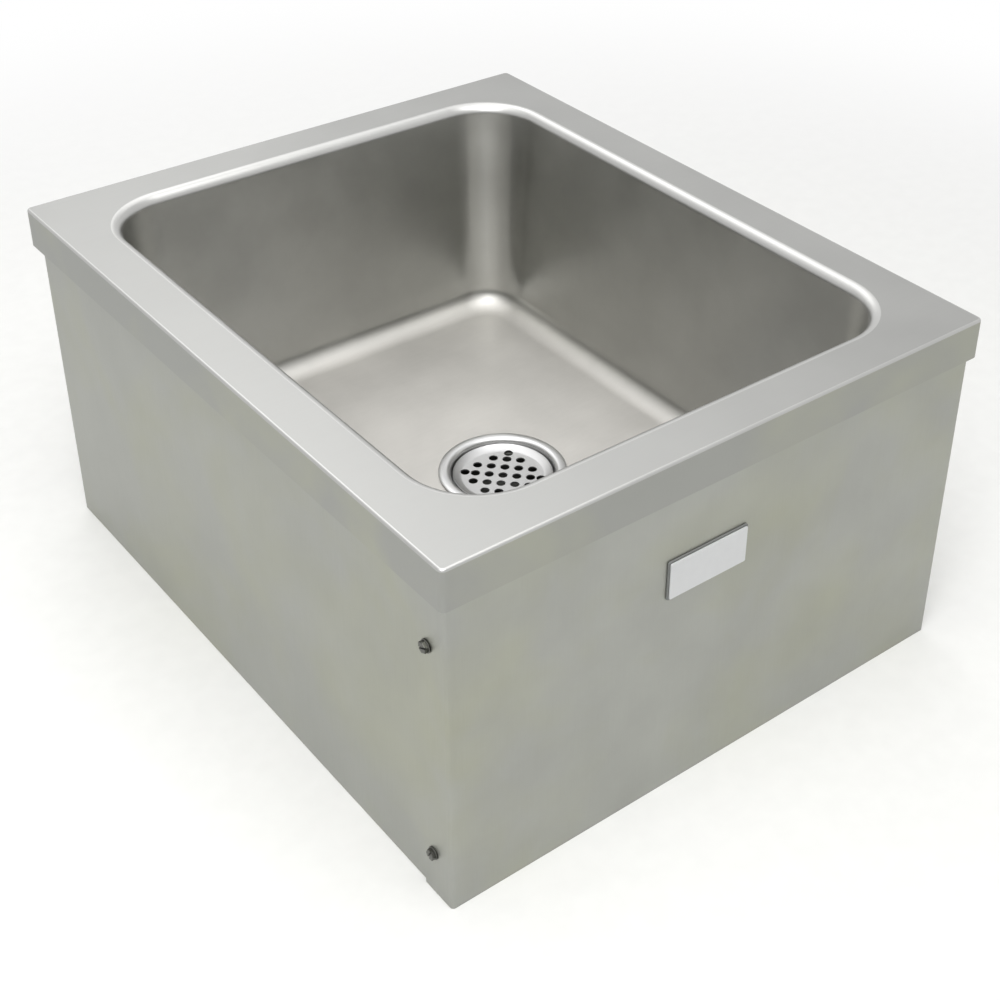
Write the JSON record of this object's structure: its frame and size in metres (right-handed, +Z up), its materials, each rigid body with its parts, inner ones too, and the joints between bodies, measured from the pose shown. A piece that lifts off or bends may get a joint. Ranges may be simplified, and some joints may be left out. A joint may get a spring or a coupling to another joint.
{
  "type": "mop service sink",
  "caption": "Floor-standing stainless steel mop sink: deep drawn bowl in a flat rim deck with apron, box skirt, removable front panel and a lift-out drain strainer.",
  "frame": {"origin": "centre of the footprint, on the floor", "axes": "+X to the right along the front panel, which carries the blank plate; +Y to the back; +Z up"},
  "size_m": [0.4952, 0.5968, 0.3048],
  "materials": {
    "deck_steel": "satin polished stainless, fine grit",
    "bowl_steel": "drawn stainless, soft satin",
    "skirt_steel": "mill finish stainless, dull satin",
    "drain_steel": "polished stainless",
    "frame_steel": "galvanised, dull",
    "screw_steel": "plated hex washer-head screw",
    "plate_face": "blank matt plate",
    "pad_black": "dark foam pad",
    "seal_rubber": "black rubber",
    "ring_fibre": "pressed fibre",
    "nut_brass": "cast brass"
  },
  "bodies": {
    "sink": {"rim_deck": "deck_steel", "drawn_bowl": "bowl_steel", "front_access_panel": "skirt_steel", "skirt_wrapper": "skirt_steel", "front_rail": "frame_steel", "post_front_left": "frame_steel", "post_front_right": "frame_steel", "post_back_right": "frame_steel", "post_back_left": "frame_steel", "screw_left_upper": "screw_steel", "screw_left_lower": "screw_steel", "screw_right_upper": "screw_steel", "screw_right_lower": "screw_steel", "label_backing": "pad_black", "label_plate": "plate_face", "drain_body": "drain_steel", "drain_gasket": "seal_rubber", "friction_ring": "ring_fibre", "drain_locknut": "nut_brass", "tailpiece_washer": "seal_rubber", "coupling_nut": "nut_brass", "tailpiece": "nut_brass"},
    "strainer": {"strainer_plate": "drain_steel"}
  },
  "joints": [
    {"name": "strainer_lift", "type": "slide", "parent": "sink", "child": "strainer", "axis": [0, 0, 1], "range_m": [0, 0.12]}
  ]
}
